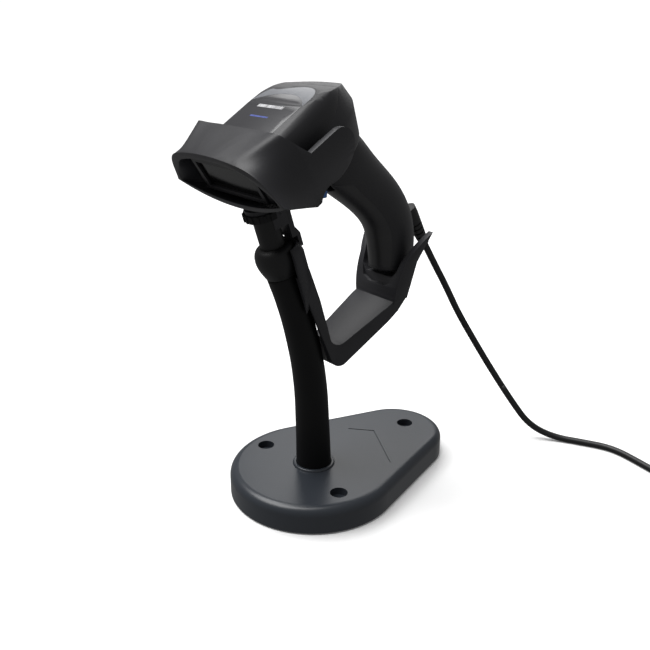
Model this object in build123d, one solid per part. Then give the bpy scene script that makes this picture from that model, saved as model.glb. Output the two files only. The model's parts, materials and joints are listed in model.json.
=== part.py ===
from build123d import *
from math import cos, pi, radians, sin, tan
import os

# Handheld barcode scanner resting in its gooseneck desk stand.
# Millimetres. The origin is on the floor under the middle of the neck, +Z is up,
# and the scanner's nose points to -Y and down.

# ---------------------------------------------------------------- stand base
BASE_HEIGHT = 19.0
BASE_FRONT_RADIUS = 57.6
BASE_REAR_RADIUS = 34.0
BASE_REAR_OFFSET = 78.5
BASE_WALL = 2.6
BASE_TOP = 3.0
BASE_EDGE_ROUND = 6.0
FOOT_STANDOFF = 1.2
COVER_THICKNESS = 2.0
COVER_GAP = 0.3
BALLAST_THICKNESS = 4.0
BALLAST_MARGIN = 5.5
MOUNT_HALF_SPACING = 40.0
MOUNT_FRONT_Y = -11.6
MOUNT_LENGTH = 100.2
MOUNT_HOLE_RADIUS = 2.6
MOUNT_SINK_RADIUS = 5.8
MOUNT_SINK_DEPTH = 5.0
BOSS_WALL = 2.2
SCREW_RADIUS = 1.4
SCREW_HEAD_RADIUS = 2.7
SCREW_HEAD_HEIGHT = 1.4
FOOT_RADIUS = 7.0
FOOT_THICKNESS = 2.2
RING_WIDTH = 2.6
RING_HEIGHT = 1.4
GROOVE = 0.5

# ---------------------------------------------------------------- neck
NECK_FOOT_RADIUS = 12.0
NECK_TOP_RADIUS = 9.4
NECK_RISE = [(0.0, 0.0), (-0.7, 25.0), (-3.2, 65.0), (-9.0, 95.0), (-17.0, 122.0), (-24.7, 141.0)]
NECK_LEAN = 17.0
SLEEVE_WALL = 3.2
CORE_CLEARANCE = 0.5
CORE_BORE = 3.4
CORE_END_GAP = 1.5
BARREL_LENGTH = 12.0
STUD_RADIUS = 6.0
NUT_FLATS = 19.0
NUT_THICKNESS = 3.6
WASHER_RADIUS = 11.0
WASHER_THICKNESS = 0.8
FERRULE_RADIUS = 12.9
FERRULE_LENGTH = 20.0
STEM_RADIUS = 7.6
STEM_PIN_RADIUS = 5.0
STEM_LENGTH = 45.0
SWIVEL_CLEARANCE = 0.06
SOCKET_RADIUS = 10.4
SOCKET_START = 39.0
SWIVEL_GROOVE_DEPTH = 1.2
SWIVEL_GROOVE_HEIGHT = 3.0
SWIVEL_GROOVE_DROP = 4.2
SCREW_ANGLES = (-55, 55)
GRIP_THICKNESS = 1.2
GRIP_HEIGHT = 4.6
GRIP_RIBS = 9
GRIP_RIB_HEIGHT = 0.7
GRIP_SWEEP = 160.0

# ---------------------------------------------------------------- holder
HEAD_PITCH = 33.0
CUP_Y = -59.1
CUP_RISE = 192.7
CUP_HALF_WIDTH = 43.0
CUP_TOP = 29.6
CUP_BOTTOM = -29.0
CUP_WALL = 3.6
CUP_TAPER_LENGTH = 28.0
CUP_BAND_LENGTH = 25.0
CUP_LENGTH = 63.0
CUP_FLOOR_LENGTH = 32.0
CUP_EAR_HEIGHT = 10.5
CUP_FLARE_HALF_WIDTH = 53.5
CUP_LIP = 3.4
CUP_LIP_LEVEL = -7.6
CUP_ROOF_SHARES = (0.4, 0.8)
CUP_CORNER_EASE = 1.0
NOSE_GAP = 0.6
PAD_THICKNESS = 3.0
ARM_HALF_WIDTH = 18.4
ARM_FRONT_HALF_WIDTH = 13.2
ARM_TOP_HALF_WIDTH = 11.0
ARM_CORNER_ROUND = 7.5
ARM_FLOOR = (6.6, 85.6)
ARM_NECK_GAP = 2.4
SADDLE_THICKNESS = 3.4
SADDLE_TOP = 18.3
TONGUE_HALF_WIDTH = 7.2
TONGUE_THICKNESS = 3.6
TAB_SCREW_X = 4.4
TAB_SCREW_LENGTH = 5.4
TAB_FACE = 10.4
TAB_START = 31.0
FERRULE_GAP = 1.0
YOKE_GAP = 1.8
YOKE_WALL = 3.6
YOKE_FLARE = 11.5

# ---------------------------------------------------------------- scanner
HEAD_FRONT = 6.0
NOSE_HALF_WIDTH = 34.6
HEAD_HALF_WIDTH = 32.5
HEAD_ARC_START = 58.0
HEAD_ARC_LENGTH = 38.0
HEAD_TOP = 24.0
HEAD_BOTTOM = -22.0
HEAD_TOP_TAPER = 9.0
HEAD_BOTTOM_TAPER = 13.0
HEAD_EDGE_ROUND = 4.5
HEAD_TOP_ROUND = 9.0
HEAD_ROUND_STEPS = 4
HEAD_BACK_FULLNESS = 0.7071
NOSE_WEDGE_LENGTH = 27.0
NOSE_WEDGE_TOP = -3.4
SHELL = 2.2
HANDLE_RISE = [
    (12.5, 211.0),
    (27.0, 199.0),
    (41.5, 187.0),
    (54.5, 175.0),
    (64.0, 160.5),
    (67.8, 143.0),
    (67.5, 127.0),
]
HANDLE_HALF_WIDTHS = [17.0, 16.5, 15.5, 15.0, 14.8, 14.4, 13.6]
HANDLE_HALF_DEPTHS = [18.5, 19.5, 18.0, 17.6, 17.6, 17.0, 15.4]
STRIP_OFFSET = 9.5
CAP_THICKNESS = 3.0
WINDOW_HALF_WIDTH = 27.0
WINDOW_BOTTOM = -1.0
WINDOW_TOP = 18.0
WINDOW_THICKNESS = 2.0
FIT_GAP = 0.15
PANEL_HALF_WIDTH = 24.0
PANEL_THICKNESS = 0.8
PANEL_START = 14.0
PANEL_ARC_START = 50.0
PANEL_ARC_LENGTH = 26.0
PANEL_BACK_FULLNESS = 0.74
CRESCENT_WIDTH = 11.0
TRIGGER_HALF_WIDTH = 7.0
TRIGGER_GAP = 0.6
PIVOT_RADIUS = 1.5
PIVOT_S = 46.0
PIVOT_U = -17.0
BOARD_THICKNESS = 1.6
BOARD_S = 20.0
IMAGER_U = 8.0
MAIN_BOARD_U = 5.0
SWITCH_S = 59.4
SWITCH_DEPTH = 3.5
MAIN_SCREW_LENGTH = 32.0
BOSSES = [(25.0, 37.5), (-25.0, 37.5), (23.5, 62.0), (-23.5, 62.0)]

# ---------------------------------------------------------------- cord
CORD_RADIUS = 2.4
RELIEF_LENGTH = 26.0
RELIEF_ROOT = 5.0
RELIEF_ROOT_RADIUS = 5.6
RELIEF_TIP_RADIUS = 3.4
RELIEF_SLOTS = 5
RELIEF_SLOT_PITCH = 3.6
RELIEF_SLOT = 1.2
RELIEF_SLOT_DEPTH = 0.7
UPPER_ROUTE = [(0, 101.0, 157.4), (1.5, 110, 142), (5, 120.5, 123), (10, 130, 101.5), (14.5, 136, 89)]
MIDDLE_ROUTE = [(14.5, 136, 89), (19, 142, 76.5), (29.5, 150, 56), (36.5, 155.5, 43)]
LOWER_ROUTE = [
    (36.5, 155.5, 43),
    (43.5, 161, 30),
    (54, 171, 11),
    (69, 183, 2.4),
    (89, 194, 2.4),
    (108, 203, 2.4),
    (134, 199, 2.4),
    (153, 195, 2.4),
]
COIL_CENTRE = (172.0, 222.0)
COIL_MEAN_RADIUS = 27.6
COIL_LAYERS = 3
PLUG_WIDTH = 15.6
PLUG_THICKNESS = 8.0
PLUG_LENGTH = 24.0
PLUG_ANGLE = 62.0
PLUG_ROUND = 2.2
BOOT_LENGTH = 12.0
CONTACT_WIDTH = 12.0
CONTACT_THICKNESS = 4.5
CONTACT_LENGTH = 18.8
CONTACT_SKIN = 0.4
TIE_WIDTH = 9.0
TIE_THICKNESS = 1.2

HEAD = Location((0, CUP_Y, BASE_HEIGHT + CUP_RISE), (HEAD_PITCH, 0, 0))
NECK_LINE = [(y, BASE_HEIGHT + rise) for y, rise in NECK_RISE]
HANDLE_LINE = [(y, BASE_HEIGHT + rise) for y, rise in HANDLE_RISE]
LIFT = Pos(0, 0, BASE_HEIGHT)
STEM = Location((0, NECK_LINE[-1][0], NECK_LINE[-1][1]), (NECK_LEAN, 0, 0))
MOUNTS = [
    (MOUNT_HALF_SPACING, MOUNT_FRONT_Y),
    (-MOUNT_HALF_SPACING, MOUNT_FRONT_Y),
    (0, MOUNT_FRONT_Y + MOUNT_LENGTH),
]
COVER_POSTS = [(22, -40), (-22, -40), (24, 62), (-24, 62)]
FEET = [(33, -30), (-33, -30), (16, 91), (-16, 91)]


def cylinder(radius, height, location):
    """Cylinder standing on its place."""
    return location * Cylinder(radius, height, align=(Align.CENTER, Align.CENTER, Align.MIN))


def block(x, y, z):
    """Box from three (low, high) pairs."""
    size = (x[1] - x[0], y[1] - y[0], z[1] - z[0])
    return Pos((x[0] + x[1]) / 2, (y[0] + y[1]) / 2, (z[0] + z[1]) / 2) * Box(*size)


def prism(edges, half_width):
    """A (Y, Z) outline in the middle plane, made half_width thick each way."""
    return extrude(make_face([Plane.YZ * e for e in edges]), half_width, both=True)


def meet(a, b):
    """What two bodies share, as one part."""
    return Part() + (a & b).solids()


def polygon(points):
    """Closed run of straight edges through the points."""
    return [Line(a, b) for a, b in zip(points, points[1:] + points[:1])]


def spin(profile):
    """Solid of revolution of a (radius, height) outline about Z."""
    return revolve(make_face([Plane.XZ * e for e in polygon(profile)]), Axis.Z)


# ================================================================ stand
def base_outline(inset=0.0):
    """Egg-shaped planform: two circles and their common tangents."""
    front = BASE_FRONT_RADIUS - inset
    rear = BASE_REAR_RADIUS - inset
    lean = (front - rear) / BASE_REAR_OFFSET
    side = (1 - lean**2) ** 0.5
    a = (front * side, front * lean)
    b = (rear * side, BASE_REAR_OFFSET + rear * lean)
    edges = [
        ThreePointArc((-a[0], a[1]), (0, -front), a),
        Line(a, b),
        ThreePointArc(b, (0, BASE_REAR_OFFSET + rear), (-b[0], b[1])),
        Line((-b[0], b[1]), (-a[0], a[1])),
    ]
    return make_face(edges)


def slab(inset, bottom, top):
    """Part of the base planform between two heights."""
    return Pos(0, 0, bottom) * extrude(base_outline(inset), top - bottom)


def base_shell():
    body = slab(0, FOOT_STANDOFF, BASE_HEIGHT)
    body = fillet(body.edges().group_by(Axis.Z)[-1], BASE_EDGE_ROUND)
    body -= slab(BASE_WALL, FOOT_STANDOFF, BASE_HEIGHT - BASE_TOP)
    floor = FOOT_STANDOFF + COVER_THICKNESS
    for x, y in MOUNTS:
        body += cylinder(MOUNT_SINK_RADIUS + BOSS_WALL, BASE_HEIGHT - floor - 1, Pos(x, y, floor))
    for x, y in COVER_POSTS:
        body += cylinder(SCREW_RADIUS + BOSS_WALL, BASE_HEIGHT - floor - 1, Pos(x, y, floor))
        body -= cylinder(SCREW_RADIUS, BASE_HEIGHT - BASE_TOP - floor, Pos(x, y, floor))
    for x, y in MOUNTS:
        body -= cylinder(MOUNT_HOLE_RADIUS, BASE_HEIGHT, Pos(x, y, 0))
        body -= cylinder(MOUNT_SINK_RADIUS, MOUNT_SINK_DEPTH, Pos(x, y, BASE_HEIGHT - MOUNT_SINK_DEPTH))
    body -= cylinder(STUD_RADIUS, BASE_HEIGHT, Pos(0, 0, 0))
    return body - base_line()


def base_line():
    """Shallow groove that marks off the rear of the top face."""
    path = Polyline((-20, 50), (-6, 62), (34, 40))
    band = offset(path, GROOVE, side=Side.BOTH)
    return Pos(0, 0, BASE_HEIGHT - GROOVE) * extrude(make_face(band.edges()), 2 * GROOVE)


def ballast_plate():
    bottom = BASE_HEIGHT - BASE_TOP - BALLAST_THICKNESS
    body = slab(BALLAST_MARGIN, bottom, bottom + BALLAST_THICKNESS)
    for x, y in MOUNTS:
        body -= cylinder(MOUNT_SINK_RADIUS + BOSS_WALL + COVER_GAP, BASE_HEIGHT, Pos(x, y, 0))
    for x, y in COVER_POSTS:
        body -= cylinder(SCREW_RADIUS + BOSS_WALL + COVER_GAP, BASE_HEIGHT, Pos(x, y, 0))
    return body - cylinder(STUD_RADIUS, BASE_HEIGHT, Pos(0, 0, 0))


def bottom_cover():
    body = slab(BASE_WALL + COVER_GAP, FOOT_STANDOFF, FOOT_STANDOFF + COVER_THICKNESS)
    for x, y in MOUNTS:
        body -= cylinder(MOUNT_HOLE_RADIUS, BASE_HEIGHT, Pos(x, y, 0))
    for x, y in COVER_POSTS:
        body -= cylinder(SCREW_RADIUS, BASE_HEIGHT, Pos(x, y, 0))
        body -= cylinder(SCREW_HEAD_RADIUS, SCREW_HEAD_HEIGHT, Pos(x, y, FOOT_STANDOFF))
    for x, y in FEET:
        body -= cylinder(FOOT_RADIUS, FOOT_THICKNESS, Pos(x, y, 0))
    return body


def rubber_feet():
    feet = [cylinder(FOOT_RADIUS, FOOT_THICKNESS, Pos(x, y, 0)) for x, y in FEET]
    return [chamfer(f.edges().group_by(Axis.Z)[0], 0.5) for f in feet]


def screw(length, location):
    """Pan-head screw: its head at the place, its shank along +Z."""
    profile = [
        (0, 0),
        (SCREW_HEAD_RADIUS, 0),
        (SCREW_HEAD_RADIUS, SCREW_HEAD_HEIGHT),
        (SCREW_RADIUS, SCREW_HEAD_HEIGHT),
        (SCREW_RADIUS, length),
        (0, length + SCREW_RADIUS),
    ]
    return location * spin(profile)


def cover_screws():
    return [screw(7, Pos(x, y, FOOT_STANDOFF)) for x, y in COVER_POSTS]


def base_ring():
    """Trim ring round the foot of the neck."""
    inner = NECK_FOOT_RADIUS
    outer = inner + RING_WIDTH
    profile = [(inner, 0), (outer, 0), (outer - 0.8, RING_HEIGHT), (inner, RING_HEIGHT)]
    return Pos(0, 0, BASE_HEIGHT) * spin(profile)


def neck_foot():
    """Threaded steel foot of the gooseneck, clamped through the base."""
    barrel = NECK_FOOT_RADIUS - SLEEVE_WALL - CORE_CLEARANCE
    low = BASE_HEIGHT - BASE_TOP - BALLAST_THICKNESS - WASHER_THICKNESS - NUT_THICKNESS
    profile = [
        (CORE_BORE, low),
        (STUD_RADIUS, low),
        (STUD_RADIUS, BASE_HEIGHT),
        (barrel, BASE_HEIGHT),
        (barrel, BASE_HEIGHT + BARREL_LENGTH),
        (CORE_BORE, BASE_HEIGHT + BARREL_LENGTH),
    ]
    return spin(profile)


def neck_washer():
    top = BASE_HEIGHT - BASE_TOP - BALLAST_THICKNESS
    return cylinder(WASHER_RADIUS, WASHER_THICKNESS, Pos(0, 0, top - WASHER_THICKNESS)) - cylinder(
        STUD_RADIUS, BASE_HEIGHT, Pos(0, 0, 0)
    )


def neck_nut():
    top = BASE_HEIGHT - BASE_TOP - BALLAST_THICKNESS - WASHER_THICKNESS
    body = extrude(RegularPolygon(NUT_FLATS / 2, 6, major_radius=False), NUT_THICKNESS)
    return Pos(0, 0, top - NUT_THICKNESS) * body - cylinder(STUD_RADIUS, BASE_HEIGHT, Pos(0, 0, 0))


# ================================================================ neck
def neck_path():
    """Middle line of the gooseneck, upright at its foot and leaning at its top."""
    lean = radians(NECK_LEAN)
    points = [(0, y, z) for y, z in NECK_LINE]
    return Edge.make_spline([Vector(*p) for p in points], [Vector(0, 0, 1), Vector(0, -sin(lean), cos(lean))])


def neck_solid(grow=0.0, start=0.0):
    """Round bar along the neck, from its foot radius to its top radius."""
    path = neck_path()
    sections = []
    for k in range(7):
        t = start + (1 - start) * k / 6
        radius = NECK_FOOT_RADIUS + (NECK_TOP_RADIUS - NECK_FOOT_RADIUS) * t
        plane = Plane(origin=path @ t, x_dir=(1, 0, 0), z_dir=path % t)
        sections.append(plane * Circle(radius + grow))
    return loft(sections)


def neck_sleeve():
    return neck_solid() - neck_solid(-SLEEVE_WALL)


def gooseneck_core():
    start = (BARREL_LENGTH + CORE_END_GAP) / neck_path().length
    return neck_solid(-SLEEVE_WALL - CORE_CLEARANCE, start)


def neck_ferrule():
    """Bulged collar that joins the neck to the stem."""
    r = FERRULE_RADIUS
    long = FERRULE_LENGTH
    foot = (NECK_TOP_RADIUS + 0.3, 0)
    lip = (STEM_RADIUS + 0.6, long)
    edges = [
        Line((STEM_PIN_RADIUS, 0), foot),
        Spline(foot, (r - 1.7, 0.18 * long), (r, 0.68 * long), (r - 1.9, 0.92 * long), lip),
        Line(lip, (STEM_PIN_RADIUS, long)),
        Line((STEM_PIN_RADIUS, long), (STEM_PIN_RADIUS, 0)),
    ]
    return STEM * revolve(make_face([Plane.XZ * e for e in edges]), Axis.Z)


def neck_stem():
    """Post that the holder sits on, pinned into the ferrule."""
    long = STEM_LENGTH
    groove = long - SWIVEL_GROOVE_DROP
    neck = STEM_RADIUS - SWIVEL_GROOVE_DEPTH
    profile = [
        (0, 0.5),
        (STEM_PIN_RADIUS, 0.5),
        (STEM_PIN_RADIUS, FERRULE_LENGTH),
        (STEM_RADIUS, FERRULE_LENGTH),
        (STEM_RADIUS, groove),
        (neck, groove),
        (neck, groove + SWIVEL_GROOVE_HEIGHT),
        (STEM_RADIUS, groove + SWIVEL_GROOVE_HEIGHT),
        (STEM_RADIUS, long - 0.8),
        (STEM_RADIUS - 0.8, long),
        (0, long),
    ]
    return STEM * spin(profile)


# ================================================================ holder
def cup_section(s, crown, corner, shoulders, tip, bottom):
    """Closed section across the cup, (x, u) points mirrored about x = 0."""
    plane = Plane(origin=(0, s, 0), x_dir=(1, 0, 0), z_dir=(0, -1, 0))
    fall = crown - corner[1]
    roof = [(corner[0] * k, crown - fall * k**2) for k in CUP_ROOF_SHARES]
    right = roof + [(corner[0] + CUP_CORNER_EASE, corner[1] - CUP_CORNER_EASE)] + shoulders + [tip]
    left = [(-x, u) for x, u in reversed(right)]
    belly = (0.55 * tip[0], tip[1] + 0.72 * (bottom - tip[1]))
    edges = [
        Spline(*left, (0, crown), *right),
        Spline(tip, belly, (0, bottom), (-belly[0], belly[1]), left[0]),
    ]
    return plane * make_face(edges)


def cup_form(wall, front, rear):
    """Hood that flares at its mouth and runs straight further back."""
    half = CUP_HALF_WIDTH - wall
    flare = CUP_FLARE_HALF_WIDTH - 1.2 * wall
    crown = CUP_TOP - 4.0 if wall else CUP_TOP
    low = CUP_BOTTOM + wall
    lip = CUP_LIP_LEVEL + (CUP_LIP if wall else 0)
    mouth = cup_section(
        front,
        crown,
        (half - 6.5, crown - 4.2),
        [(half + 1.6, crown - 11), (half + 6.4, 10.4)],
        (flare, 3.0),
        lip,
    )
    inner = cup_section(
        CUP_TAPER_LENGTH,
        crown,
        (half - 3.0, crown - 0.6),
        [(half - 0.2, crown - 4.6), (half, -4)],
        (half - 10.5, low + 4.2),
        low,
    )
    return loft([mouth, inner], ruled=True) + extrude(inner, -(rear - CUP_TAPER_LENGTH))


def cup_keep():
    """Side outline that trims the cup: band and floor in front, two ears behind."""
    ear = CUP_EAR_HEIGHT
    band = CUP_BAND_LENGTH
    back = CUP_LENGTH
    floor = CUP_FLOOR_LENGTH
    valley = (band + 8.5, ear + 0.6)
    low = (back - 24, -17)
    edges = [
        Line((-20, -60), (-20, 50)),
        Line((-20, 50), (band, 50)),
        Line((band, 50), (band, CUP_TOP)),
        Spline((band, CUP_TOP), (band + 4.2, 0.45 * CUP_TOP + 0.55 * ear), valley),
        Line(valley, (back - 10, ear)),
        Spline((back - 10, ear), (back - 2.6, ear - 3.4), (back, -2), (back - 5.5, -14.4), low),
        Spline(low, (floor + 1.4, -19.5), (floor, -24)),
        Line((floor, -24), (floor, -60)),
        Line((floor, -60), (-20, -60)),
    ]
    return prism(edges, 80)


def holder_cup():
    solid = cup_form(0, 0, CUP_LENGTH + 2) & cup_keep()
    hollow = cup_form(CUP_WALL, -0.01, CUP_LENGTH + 3)
    cup = HEAD * (solid - hollow)
    cup += socket() - HEAD * hollow
    cup -= cylinder(STEM_RADIUS + SWIVEL_CLEARANCE, STEM_LENGTH + 0.4, STEM)
    for angle in SCREW_ANGLES:
        cup -= set_screw(angle)
    for x in (-TAB_SCREW_X, TAB_SCREW_X):
        cup -= tab_screw(x)
    return cup


def socket():
    """Round boss under the cup that sits on the stem, flat behind for the arm's tab."""
    boss = cylinder(SOCKET_RADIUS, STEM_LENGTH + 12 - SOCKET_START, STEM * Pos(0, 0, SOCKET_START))
    boss += STEM * block((-TAB_SCREW_X - 3.4, TAB_SCREW_X + 3.4), (0, TAB_FACE), (TAB_START, STEM_LENGTH + 2))
    boss -= STEM * block((-20, 20), (TAB_FACE, 30), (0, 80))
    below = STEM * block((-30, 30), (-30, 30), (TAB_START, STEM_LENGTH + 1.5))
    return boss & HEAD * cup_form(0.8, 0, CUP_LENGTH) + below


def set_screw(angle):
    """Grub screw that runs in the stem's groove."""
    height = STEM_LENGTH - SWIVEL_GROOVE_DROP + SWIVEL_GROOVE_HEIGHT / 2
    start = STEM_RADIUS - SWIVEL_GROOVE_DEPTH + 0.25
    place = STEM * Pos(0, 0, height) * Rot(0, 0, angle) * Rot(90, 0, 0) * Pos(0, 0, start)
    return cylinder(SCREW_RADIUS, SOCKET_RADIUS - start - 0.2, place)


def socket_grip():
    """Ribbed rubber band round the front of the socket."""
    outer = SOCKET_RADIUS + GRIP_THICKNESS
    start = SOCKET_START + 0.4
    ring = cylinder(outer, GRIP_HEIGHT, STEM * Pos(0, 0, start))
    ring -= cylinder(SOCKET_RADIUS, GRIP_HEIGHT + 2, STEM * Pos(0, 0, start - 1))
    rib_y = (-outer - GRIP_RIB_HEIGHT, -outer + 0.3)
    rib = block((-0.6, 0.6), rib_y, (start + 0.3, start + GRIP_HEIGHT - 0.3))
    for k in range(GRIP_RIBS):
        turn = GRIP_SWEEP * (k / (GRIP_RIBS - 1) - 0.5)
        ring += STEM * Rot(0, 0, turn) * rib
    ring -= STEM * block((-30, 30), (1.5, 30), (0, 80))
    return ring - HEAD * cup_form(0, 0, CUP_LENGTH)


def arm_side():
    """Side outline of the J-shaped arm, measured from the base's top."""
    front = [(-24.0, 149), (-12.6, 120), (0.4, 89.6), (8.6, 70.0)]
    under = [(58.5, 102.6), (67.1, 111.6), (70.0, 119)]
    inner = [(56.8, 121), (53.8, 109.8), ARM_FLOOR, (-4.4, 122.4), (-14.6, 149)]
    return LIFT * prism(polygon(front + under + inner), ARM_HALF_WIDTH + 4)


def front_outline(points, y_low, y_high):
    """Solid from an (X, Z) outline of the right half, measured from the base's top."""
    mirrored = points + [(-x, z) for x, z in reversed(points)]
    face = make_face([Plane.XZ * e for e in polygon(mirrored)])
    return LIFT * Pos(0, y_high, 0) * extrude(face, y_high - y_low)


def arm_plan():
    """Plan of the arm: narrow at the neck, full width under the handle."""
    narrow = ARM_FRONT_HALF_WIDTH
    right = [(narrow, -60), (narrow, 8), (ARM_HALF_WIDTH, 50), (ARM_HALF_WIDTH, 90)]
    left = [(-x, y) for x, y in reversed(right)]
    return extrude(make_face(polygon(right + left)), 300)


def holder_arm():
    arm = arm_side()
    across = arm.edges().filter_by(Axis.X).sort_by(Axis.Z)
    inside = [e for e in across if abs(e.center().Z - BASE_HEIGHT - ARM_FLOOR[1]) < 0.1]
    arm = fillet(across[:1] + inside, ARM_CORNER_ROUND)
    taper = [(ARM_HALF_WIDTH + 2, 40), (ARM_HALF_WIDTH + 2, 125), (ARM_TOP_HALF_WIDTH, 150)]
    arm = meet(meet(arm, arm_plan()), front_outline(taper, -60, 90))
    arm += saddle()
    arm += yoke()
    arm -= neck_solid(ARM_NECK_GAP)
    arm -= cylinder(FERRULE_RADIUS + FERRULE_GAP, FERRULE_LENGTH + 2, STEM * Pos(0, 0, -1))
    arm -= yoke_slot()
    arm += tongue()
    for x in (-TAB_SCREW_X, TAB_SCREW_X):
        arm -= tab_screw(x)
    return arm


def saddle():
    """Half collar behind the ferrule that ends the arm."""
    radius = FERRULE_RADIUS + FERRULE_GAP + SADDLE_THICKNESS
    profile = [
        (0, -34),
        (radius - 6.6, -34),
        (radius, -8),
        (radius, SADDLE_TOP - 7),
        (radius - 1.2, SADDLE_TOP - 2.6),
        (radius - 3.2, SADDLE_TOP),
        (0, SADDLE_TOP),
    ]
    return STEM * meet(spin(profile), block((-30, 30), (2, 30), (-40, 40)))


def tongue():
    """Tab that steps in above the ferrule and carries the arm up to the socket."""
    inner = FERRULE_RADIUS + FERRULE_GAP
    step = FERRULE_LENGTH + 1
    side = [
        (inner + 0.2, SADDLE_TOP - 5),
        (inner + SADDLE_THICKNESS - 0.6, SADDLE_TOP - 5),
        (inner + SADDLE_THICKNESS - 0.6, step + 1),
        (TAB_FACE + TONGUE_THICKNESS, step + 6),
        (TAB_FACE + TONGUE_THICKNESS, STEM_LENGTH + 2),
        (TAB_FACE, STEM_LENGTH + 2),
        (TAB_FACE, step),
        (inner + 0.2, step),
    ]
    tab = STEM * prism(polygon(side), TONGUE_HALF_WIDTH)
    return tab - HEAD * cup_form(0, -1, CUP_LENGTH)


def tab_screw(x):
    """Screw through the tab into the socket, its head behind."""
    height = TAB_START + 3.2
    return screw(TAB_SCREW_LENGTH, STEM * Pos(x, TAB_FACE + TONGUE_THICKNESS, height) * Rot(90, 0, 0))


def yoke():
    """Pair of horns that flare outward and back and hold the handle's end."""
    tip = (77.0, 156.0)
    front = ThreePointArc((54.2, 108), (60.8, 136), tip)
    rear = ThreePointArc(tip, (71.5, 134), (66, 110.5))
    side = LIFT * prism([front, rear, Line((66, 110.5), (54.2, 108))], YOKE_FLARE + 40)
    half = ARM_HALF_WIDTH
    horn = [(half, 104), (half + 1.8, 119), (half + 3.4, 135), (half + 2 + YOKE_FLARE, 161.5)]
    shelf = block((-half + 0.5, half - 0.5), (57, 68), (118, 124.6))
    shelf += block((-11, 11), (57, 79), (120.4, 124.6))
    return meet(front_outline(horn, 40, 90), side) + LIFT * shelf


def yoke_slot():
    """Scoop between the horns that the handle's end stands in."""
    half = HANDLE_HALF_WIDTHS[-2] + YOKE_GAP
    upper = [(half, 129), (half + 1.6, 137), (ARM_HALF_WIDTH + 2 + YOKE_FLARE - YOKE_WALL, 162)]
    slot = front_outline([(half - 4, 124.6)] + upper, 57.5, 100)
    return slot + front_outline([(half - 9, 118.4), (half - 3, 121.4)] + upper, 40, 57.6)


def cup_pads():
    """Rubber pads that steady the nose at both sides."""
    pads = []
    outer = CUP_HALF_WIDTH - CUP_WALL
    for side in (-1, 1):
        x = sorted((side * (outer - PAD_THICKNESS), side * outer))
        pads.append(HEAD * block(x, (CUP_TAPER_LENGTH + 1, CUP_TAPER_LENGTH + 19), (-3, 8)))
    return pads


# ================================================================ scanner housing
def head_plan(inset, draft, height):
    """Bullet-shaped planform: flat nose, round back."""
    nose = NOSE_HALF_WIDTH - inset - draft
    half = HEAD_HALF_WIDTH - inset - draft
    front = HEAD_FRONT + inset
    reach = HEAD_ARC_LENGTH - inset - draft
    start = HEAD_ARC_START
    k = HEAD_BACK_FULLNESS
    back = [(half, start), (half * k, start + reach * k), (0, start + reach)]
    back += [(-x, y) for x, y in reversed(back[:2])]
    edges = [
        Line((-nose, front), (nose, front)),
        Line((nose, front), (half, start)),
        Spline(*back, tangents=[(-0.05, 1), (-0.05, -1)]),
        Line((-half, start), (-nose, front)),
    ]
    return Pos(0, 0, height) * make_face(edges)


def head_form(inset=0.0):
    """Head of the scanner in its own frame, or its cavity when inset."""
    middle = head_plan(inset, 0, 0)
    below = head_plan(inset, -HEAD_BOTTOM * tan(radians(HEAD_BOTTOM_TAPER)), HEAD_BOTTOM + inset)
    body = loft([middle, below], ruled=True)
    if inset == 0:
        body = fillet(body.edges().group_by(Axis.Z)[0], HEAD_EDGE_ROUND)
    last = middle
    radius = HEAD_TOP_ROUND - inset
    for k in range(HEAD_ROUND_STEPS + 1):
        turn = pi / 2 * k / HEAD_ROUND_STEPS
        level = HEAD_TOP - inset - radius * (1 - sin(turn))
        draft = level * tan(radians(HEAD_TOP_TAPER)) + radius * (1 - cos(turn))
        plan = head_plan(inset, draft, level)
        body += loft([last, plan], ruled=True)
        last = plan
    dome = [
        Line((-10, -60), (-10, 17)),
        Spline((-10, 17), (8, 21.2), (30, HEAD_TOP - 0.2), (52, HEAD_TOP - 0.8), (75, 18.2), (100, 3)),
        Line((100, 3), (100, -60)),
        Line((100, -60), (-10, -60)),
    ]
    wedge = [
        (HEAD_FRONT - 10, -40),
        (HEAD_FRONT - 10, inset),
        (HEAD_FRONT, NOSE_WEDGE_TOP + inset),
        (HEAD_FRONT + NOSE_WEDGE_LENGTH, HEAD_BOTTOM + inset),
        (HEAD_FRONT + NOSE_WEDGE_LENGTH, -40),
    ]
    return meet(body, Pos(0, 0, -inset) * prism(dome, 60)) - prism(polygon(wedge), 60)


def handle_planes():
    """Section planes square to the handle's middle line, from top to end."""
    points = [Vector(0, y, z) for y, z in HANDLE_LINE]
    path = Edge.make_spline(points)
    planes = []
    for point in points:
        t = path.param_at_point(point)
        planes.append(Plane(origin=point, x_dir=(1, 0, 0), z_dir=path % t))
    return planes


def handle_form(inset=0.0, shorten=0.0):
    """Curved grip, lofted through oval sections."""
    sections = []
    planes = handle_planes()
    for plane, half, depth in zip(planes, HANDLE_HALF_WIDTHS, HANDLE_HALF_DEPTHS):
        sections.append(plane * Ellipse(half - inset, depth - inset))
    body = loft(sections)
    if shorten:
        end = planes[-1]
        body -= end * block((-40, 40), (-40, 40), (-shorten, 20))
    return body


def housing_form():
    return HEAD * head_form() + handle_form()


def housing_hollow():
    return HEAD * head_form(SHELL) + handle_form(SHELL, CAP_THICKNESS)


def top_region():
    """Everything above the parting line between top cover and lower housing."""
    line = Spline((-20, 3), (30, 3.2), (58, 6), (78, 14), (102, 34))
    edges = [line, Line((102, 34), (102, 60)), Line((102, 60), (-20, 60)), Line((-20, 60), (-20, 3))]
    return HEAD * prism(edges, 60)


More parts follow.
